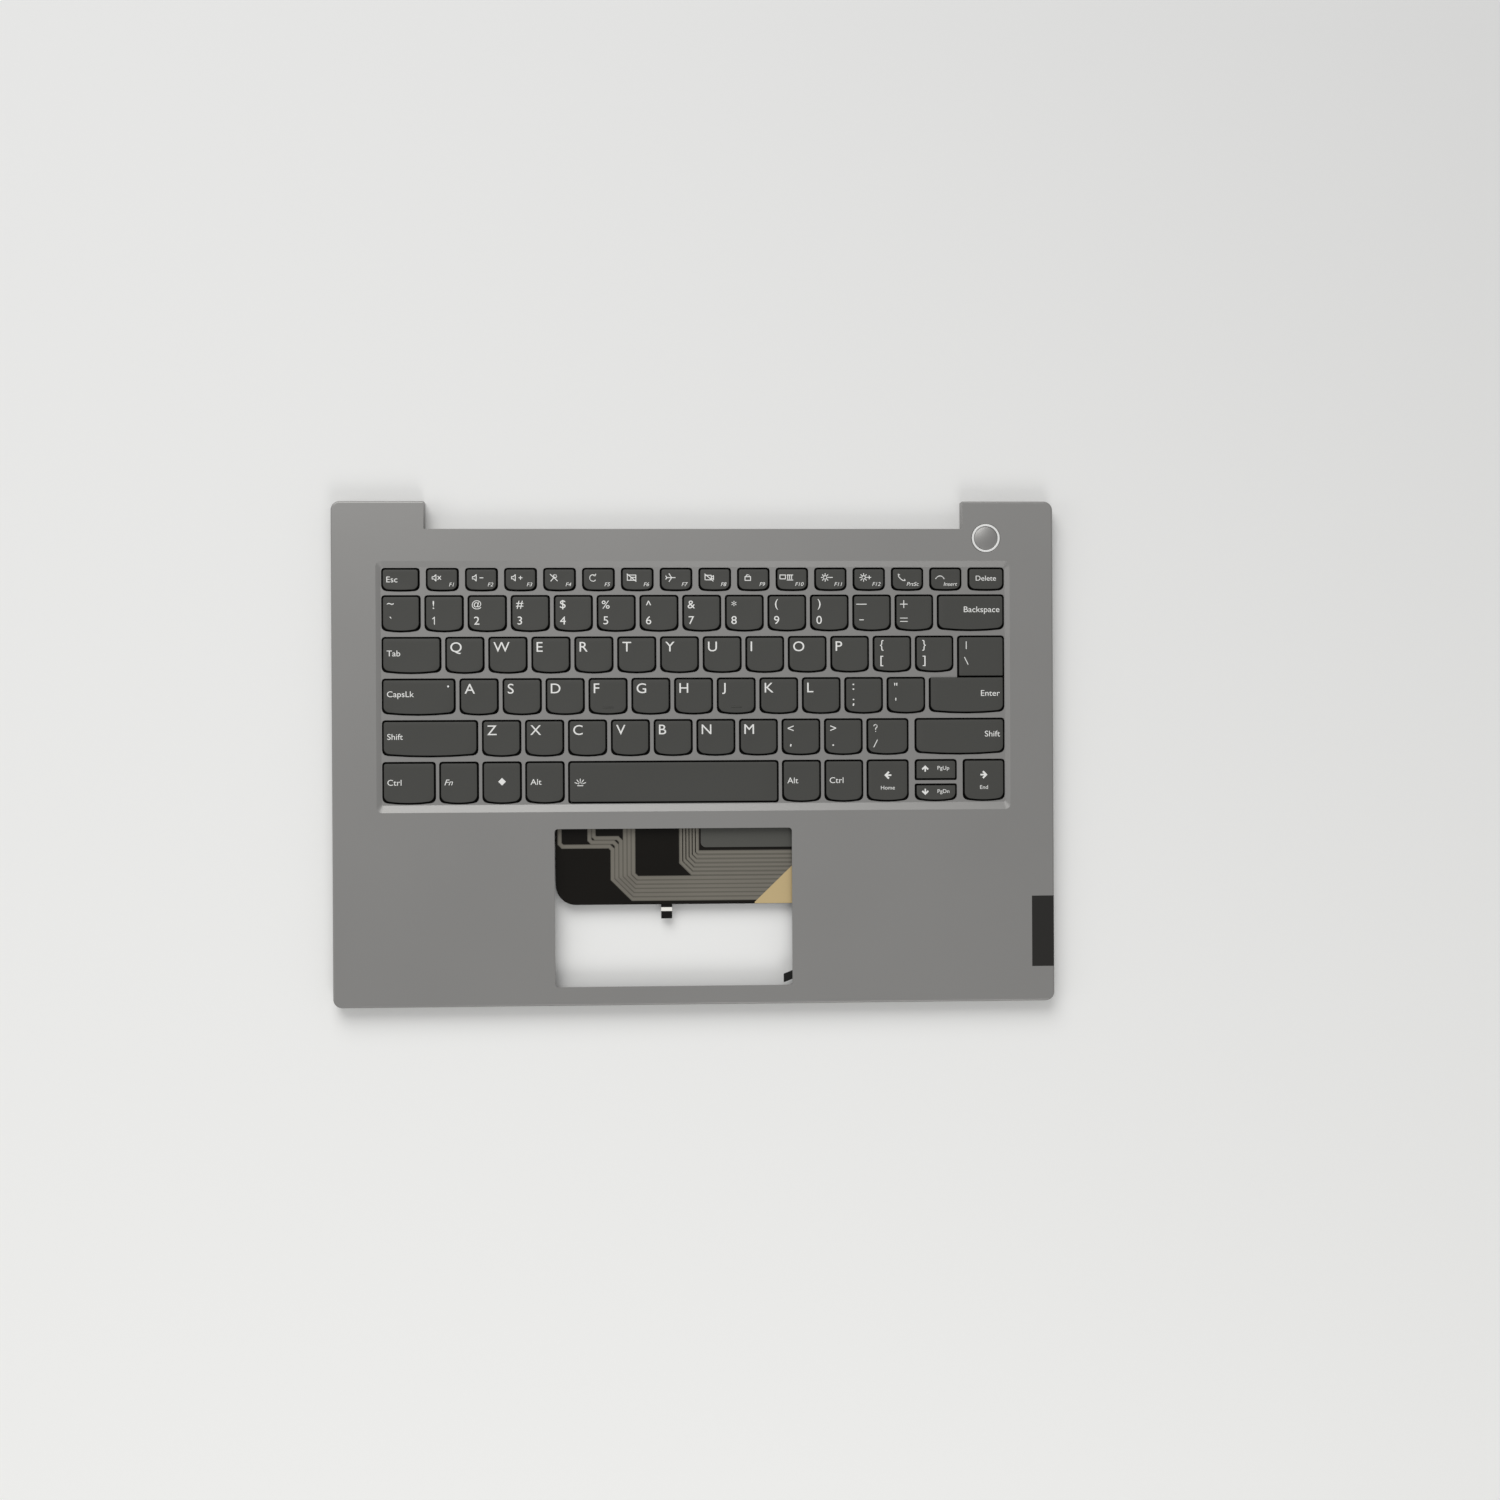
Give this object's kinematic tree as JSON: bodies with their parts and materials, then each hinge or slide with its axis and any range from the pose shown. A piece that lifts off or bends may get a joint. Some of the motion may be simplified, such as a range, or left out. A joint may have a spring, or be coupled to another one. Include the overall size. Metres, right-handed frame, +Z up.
{
  "type": "laptop palmrest with keyboard",
  "caption": "Laptop upper case with palm rests, a keyboard of low scissor keys in a shallow well, a round power button at the rear right and an open touchpad cut-out in front.",
  "frame": {"origin": "under the middle of the case, on the plane of its rim", "axes": "+X to the right along the case, +Y towards the screen hinges, +Z up through the keys"},
  "size_m": [0.322, 0.2246, 0.0087],
  "materials": {
    "deck_metal": "fine satin, warm grey anodised",
    "frame_plastic": "moulded, dark grey",
    "insert_brass": "knurled brass",
    "plate_steel": "rolled thin sheet",
    "membrane_film": "black printed film with silver tracks",
    "guide_film": "milky light guide film",
    "tail_film": "black flat cable",
    "dome_rubber": "translucent silicone",
    "link_plastic": "white nylon",
    "wire_steel": "bright drawn wire",
    "key_plastic": "fine matt, dark warm grey",
    "ring_metal": "bright turned edge",
    "button_metal": "satin turned face",
    "board_green": "lacquered circuit board",
    "name_plate_black": "dark bare inlay",
    "strip_grey": "dark grey shielding strip",
    "tape_beige": "paper-backed tape",
    "foam_black": "open-cell foam"
  },
  "bodies": {
    "root": {"top_case": "deck_metal", "inner_frame": "frame_plastic", "threaded_inserts": "insert_brass", "key_base_plate": "plate_steel", "key_membrane": "membrane_film", "light_guide": "guide_film", "light_guide_tail": "tail_film", "rubber_domes": "dome_rubber", "outer_links": "link_plastic", "inner_links": "link_plastic", "stabiliser_wires": "wire_steel", "plate_stakes": "frame_plastic", "fixed_keys": "key_plastic", "power_button_ring": "ring_metal", "power_switch_board": "board_green", "name_plate": "name_plate_black", "cable_cover_strip": "strip_grey", "cable_tape": "tape_beige", "foam_pad": "foam_black"},
    "power_button": {"power_button": "button_metal"},
    "key_1": {"key_1": "key_plastic"},
    "key_2": {"key_2": "key_plastic"},
    "key_3": {"key_3": "key_plastic"},
    "key_4": {"key_4": "key_plastic"},
    "key_5": {"key_5": "key_plastic"},
    "key_6": {"key_6": "key_plastic"},
    "key_7": {"key_7": "key_plastic"},
    "key_8": {"key_8": "key_plastic"},
    "key_9": {"key_9": "key_plastic"},
    "key_0": {"key_0": "key_plastic"},
    "key_q": {"key_q": "key_plastic"},
    "key_w": {"key_w": "key_plastic"},
    "key_e": {"key_e": "key_plastic"},
    "key_r": {"key_r": "key_plastic"},
    "key_t": {"key_t": "key_plastic"},
    "key_y": {"key_y": "key_plastic"},
    "key_u": {"key_u": "key_plastic"},
    "key_i": {"key_i": "key_plastic"},
    "key_o": {"key_o": "key_plastic"},
    "key_p": {"key_p": "key_plastic"},
    "key_a": {"key_a": "key_plastic"},
    "key_s": {"key_s": "key_plastic"},
    "key_d": {"key_d": "key_plastic"},
    "key_f": {"key_f": "key_plastic"},
    "key_g": {"key_g": "key_plastic"},
    "key_h": {"key_h": "key_plastic"},
    "key_j": {"key_j": "key_plastic"},
    "key_k": {"key_k": "key_plastic"},
    "key_l": {"key_l": "key_plastic"},
    "key_z": {"key_z": "key_plastic"},
    "key_x": {"key_x": "key_plastic"},
    "key_c": {"key_c": "key_plastic"},
    "key_v": {"key_v": "key_plastic"},
    "key_b": {"key_b": "key_plastic"},
    "key_n": {"key_n": "key_plastic"},
    "key_m": {"key_m": "key_plastic"},
    "key_backspace": {"key_backspace": "key_plastic"},
    "key_enter": {"key_enter": "key_plastic"},
    "key_left_shift": {"key_left_shift": "key_plastic"},
    "key_space": {"key_space": "key_plastic"}
  },
  "joints": [
    {"name": "press_1", "type": "slide", "parent": "root", "child": "key_1", "axis": [0, 0, -1], "range_m": [0, 0.0013], "stiffness_N_per_m": 300, "springref_m": -0.0007, "deforming": ["rubber_domes", "outer_links", "inner_links"]},
    {"name": "press_2", "type": "slide", "parent": "root", "child": "key_2", "axis": [0, 0, -1], "range_m": [0, 0.0013], "stiffness_N_per_m": 300, "springref_m": -0.0007, "deforming": ["rubber_domes", "outer_links", "inner_links"]},
    {"name": "press_3", "type": "slide", "parent": "root", "child": "key_3", "axis": [0, 0, -1], "range_m": [0, 0.0013], "stiffness_N_per_m": 300, "springref_m": -0.0007, "deforming": ["rubber_domes", "outer_links", "inner_links"]},
    {"name": "press_4", "type": "slide", "parent": "root", "child": "key_4", "axis": [0, 0, -1], "range_m": [0, 0.0013], "stiffness_N_per_m": 300, "springref_m": -0.0007, "deforming": ["rubber_domes", "outer_links", "inner_links"]},
    {"name": "press_5", "type": "slide", "parent": "root", "child": "key_5", "axis": [0, 0, -1], "range_m": [0, 0.0013], "stiffness_N_per_m": 300, "springref_m": -0.0007, "deforming": ["rubber_domes", "outer_links", "inner_links"]},
    {"name": "press_6", "type": "slide", "parent": "root", "child": "key_6", "axis": [0, 0, -1], "range_m": [0, 0.0013], "stiffness_N_per_m": 300, "springref_m": -0.0007, "deforming": ["rubber_domes", "outer_links", "inner_links"]},
    {"name": "press_7", "type": "slide", "parent": "root", "child": "key_7", "axis": [0, 0, -1], "range_m": [0, 0.0013], "stiffness_N_per_m": 300, "springref_m": -0.0007, "deforming": ["rubber_domes", "outer_links", "inner_links"]},
    {"name": "press_8", "type": "slide", "parent": "root", "child": "key_8", "axis": [0, 0, -1], "range_m": [0, 0.0013], "stiffness_N_per_m": 300, "springref_m": -0.0007, "deforming": ["rubber_domes", "outer_links", "inner_links"]},
    {"name": "press_9", "type": "slide", "parent": "root", "child": "key_9", "axis": [0, 0, -1], "range_m": [0, 0.0013], "stiffness_N_per_m": 300, "springref_m": -0.0007, "deforming": ["rubber_domes", "outer_links", "inner_links"]},
    {"name": "press_0", "type": "slide", "parent": "root", "child": "key_0", "axis": [0, 0, -1], "range_m": [0, 0.0013], "stiffness_N_per_m": 300, "springref_m": -0.0007, "deforming": ["rubber_domes", "outer_links", "inner_links"]},
    {"name": "press_q", "type": "slide", "parent": "root", "child": "key_q", "axis": [0, 0, -1], "range_m": [0, 0.0013], "stiffness_N_per_m": 300, "springref_m": -0.0007, "deforming": ["rubber_domes", "outer_links", "inner_links"]},
    {"name": "press_w", "type": "slide", "parent": "root", "child": "key_w", "axis": [0, 0, -1], "range_m": [0, 0.0013], "stiffness_N_per_m": 300, "springref_m": -0.0007, "deforming": ["rubber_domes", "outer_links", "inner_links"]},
    {"name": "press_e", "type": "slide", "parent": "root", "child": "key_e", "axis": [0, 0, -1], "range_m": [0, 0.0013], "stiffness_N_per_m": 300, "springref_m": -0.0007, "deforming": ["rubber_domes", "outer_links", "inner_links"]},
    {"name": "press_r", "type": "slide", "parent": "root", "child": "key_r", "axis": [0, 0, -1], "range_m": [0, 0.0013], "stiffness_N_per_m": 300, "springref_m": -0.0007, "deforming": ["rubber_domes", "outer_links", "inner_links"]},
    {"name": "press_t", "type": "slide", "parent": "root", "child": "key_t", "axis": [0, 0, -1], "range_m": [0, 0.0013], "stiffness_N_per_m": 300, "springref_m": -0.0007, "deforming": ["rubber_domes", "outer_links", "inner_links"]},
    {"name": "press_y", "type": "slide", "parent": "root", "child": "key_y", "axis": [0, 0, -1], "range_m": [0, 0.0013], "stiffness_N_per_m": 300, "springref_m": -0.0007, "deforming": ["rubber_domes", "outer_links", "inner_links"]},
    {"name": "press_u", "type": "slide", "parent": "root", "child": "key_u", "axis": [0, 0, -1], "range_m": [0, 0.0013], "stiffness_N_per_m": 300, "springref_m": -0.0007, "deforming": ["rubber_domes", "outer_links", "inner_links"]},
    {"name": "press_i", "type": "slide", "parent": "root", "child": "key_i", "axis": [0, 0, -1], "range_m": [0, 0.0013], "stiffness_N_per_m": 300, "springref_m": -0.0007, "deforming": ["rubber_domes", "outer_links", "inner_links"]},
    {"name": "press_o", "type": "slide", "parent": "root", "child": "key_o", "axis": [0, 0, -1], "range_m": [0, 0.0013], "stiffness_N_per_m": 300, "springref_m": -0.0007, "deforming": ["rubber_domes", "outer_links", "inner_links"]},
    {"name": "press_p", "type": "slide", "parent": "root", "child": "key_p", "axis": [0, 0, -1], "range_m": [0, 0.0013], "stiffness_N_per_m": 300, "springref_m": -0.0007, "deforming": ["rubber_domes", "outer_links", "inner_links"]},
    {"name": "press_a", "type": "slide", "parent": "root", "child": "key_a", "axis": [0, 0, -1], "range_m": [0, 0.0013], "stiffness_N_per_m": 300, "springref_m": -0.0007, "deforming": ["rubber_domes", "outer_links", "inner_links"]},
    {"name": "press_s", "type": "slide", "parent": "root", "child": "key_s", "axis": [0, 0, -1], "range_m": [0, 0.0013], "stiffness_N_per_m": 300, "springref_m": -0.0007, "deforming": ["rubber_domes", "outer_links", "inner_links"]},
    {"name": "press_d", "type": "slide", "parent": "root", "child": "key_d", "axis": [0, 0, -1], "range_m": [0, 0.0013], "stiffness_N_per_m": 300, "springref_m": -0.0007, "deforming": ["rubber_domes", "outer_links", "inner_links"]},
    {"name": "press_f", "type": "slide", "parent": "root", "child": "key_f", "axis": [0, 0, -1], "range_m": [0, 0.0013], "stiffness_N_per_m": 300, "springref_m": -0.0007, "deforming": ["rubber_domes", "outer_links", "inner_links"]},
    {"name": "press_g", "type": "slide", "parent": "root", "child": "key_g", "axis": [0, 0, -1], "range_m": [0, 0.0013], "stiffness_N_per_m": 300, "springref_m": -0.0007, "deforming": ["rubber_domes", "outer_links", "inner_links"]},
    {"name": "press_h", "type": "slide", "parent": "root", "child": "key_h", "axis": [0, 0, -1], "range_m": [0, 0.0013], "stiffness_N_per_m": 300, "springref_m": -0.0007, "deforming": ["rubber_domes", "outer_links", "inner_links"]},
    {"name": "press_j", "type": "slide", "parent": "root", "child": "key_j", "axis": [0, 0, -1], "range_m": [0, 0.0013], "stiffness_N_per_m": 300, "springref_m": -0.0007, "deforming": ["rubber_domes", "outer_links", "inner_links"]},
    {"name": "press_k", "type": "slide", "parent": "root", "child": "key_k", "axis": [0, 0, -1], "range_m": [0, 0.0013], "stiffness_N_per_m": 300, "springref_m": -0.0007, "deforming": ["rubber_domes", "outer_links", "inner_links"]},
    {"name": "press_l", "type": "slide", "parent": "root", "child": "key_l", "axis": [0, 0, -1], "range_m": [0, 0.0013], "stiffness_N_per_m": 300, "springref_m": -0.0007, "deforming": ["rubber_domes", "outer_links", "inner_links"]},
    {"name": "press_z", "type": "slide", "parent": "root", "child": "key_z", "axis": [0, 0, -1], "range_m": [0, 0.0013], "stiffness_N_per_m": 300, "springref_m": -0.0007, "deforming": ["rubber_domes", "outer_links", "inner_links"]},
    {"name": "press_x", "type": "slide", "parent": "root", "child": "key_x", "axis": [0, 0, -1], "range_m": [0, 0.0013], "stiffness_N_per_m": 300, "springref_m": -0.0007, "deforming": ["rubber_domes", "outer_links", "inner_links"]},
    {"name": "press_c", "type": "slide", "parent": "root", "child": "key_c", "axis": [0, 0, -1], "range_m": [0, 0.0013], "stiffness_N_per_m": 300, "springref_m": -0.0007, "deforming": ["rubber_domes", "outer_links", "inner_links"]},
    {"name": "press_v", "type": "slide", "parent": "root", "child": "key_v", "axis": [0, 0, -1], "range_m": [0, 0.0013], "stiffness_N_per_m": 300, "springref_m": -0.0007, "deforming": ["rubber_domes", "outer_links", "inner_links"]},
    {"name": "press_b", "type": "slide", "parent": "root", "child": "key_b", "axis": [0, 0, -1], "range_m": [0, 0.0013], "stiffness_N_per_m": 300, "springref_m": -0.0007, "deforming": ["rubber_domes", "outer_links", "inner_links"]},
    {"name": "press_n", "type": "slide", "parent": "root", "child": "key_n", "axis": [0, 0, -1], "range_m": [0, 0.0013], "stiffness_N_per_m": 300, "springref_m": -0.0007, "deforming": ["rubber_domes", "outer_links", "inner_links"]},
    {"name": "press_m", "type": "slide", "parent": "root", "child": "key_m", "axis": [0, 0, -1], "range_m": [0, 0.0013], "stiffness_N_per_m": 300, "springref_m": -0.0007, "deforming": ["rubber_domes", "outer_links", "inner_links"]},
    {"name": "press_backspace", "type": "slide", "parent": "root", "child": "key_backspace", "axis": [0, 0, -1], "range_m": [0, 0.0013], "stiffness_N_per_m": 300, "springref_m": -0.0007, "deforming": ["rubber_domes", "outer_links", "inner_links"]},
    {"name": "press_enter", "type": "slide", "parent": "root", "child": "key_enter", "axis": [0, 0, -1], "range_m": [0, 0.0013], "stiffness_N_per_m": 300, "springref_m": -0.0007, "deforming": ["rubber_domes", "outer_links", "inner_links"]},
    {"name": "press_left_shift", "type": "slide", "parent": "root", "child": "key_left_shift", "axis": [0, 0, -1], "range_m": [0, 0.0013], "stiffness_N_per_m": 300, "springref_m": -0.0007, "deforming": ["rubber_domes", "outer_links", "inner_links"]},
    {"name": "press_space", "type": "slide", "parent": "root", "child": "key_space", "axis": [0, 0, -1], "range_m": [0, 0.0013], "stiffness_N_per_m": 300, "springref_m": -0.0007, "deforming": ["rubber_domes", "outer_links", "inner_links"]},
    {"name": "press_power_button", "type": "slide", "parent": "root", "child": "power_button", "axis": [0, 0, -1], "range_m": [0, 0.00025], "stiffness_N_per_m": 2000, "springref_m": -0.0002}
  ]
}
